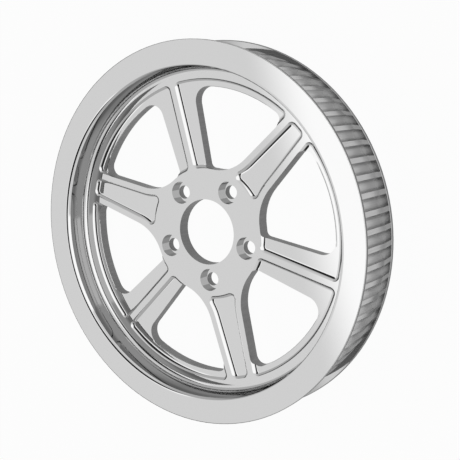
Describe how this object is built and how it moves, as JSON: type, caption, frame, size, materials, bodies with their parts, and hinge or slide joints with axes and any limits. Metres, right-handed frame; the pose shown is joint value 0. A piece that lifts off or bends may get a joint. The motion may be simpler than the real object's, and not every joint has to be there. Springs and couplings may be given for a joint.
{
  "type": "belt pulley",
  "caption": "Toothed belt pulley for a motorcycle rear wheel: flanged rim, dished web with ribbed and pocketed spokes, bored hub with counterbored bolt holes.",
  "frame": {"origin": "on the bore's axis, in the plane of the back flange's outer face, on which the pulley lies", "axes": "+Z along the bore's axis towards the dished outer side; +X along the middle of a ribbed spoke, through a bolt hole"},
  "size_m": [0.32, 0.32, 0.0473],
  "materials": {
    "polished_aluminium": "mirror polished"
  },
  "bodies": {
    "root": {"belt_pulley": "polished_aluminium"}
  },
  "joints": []
}
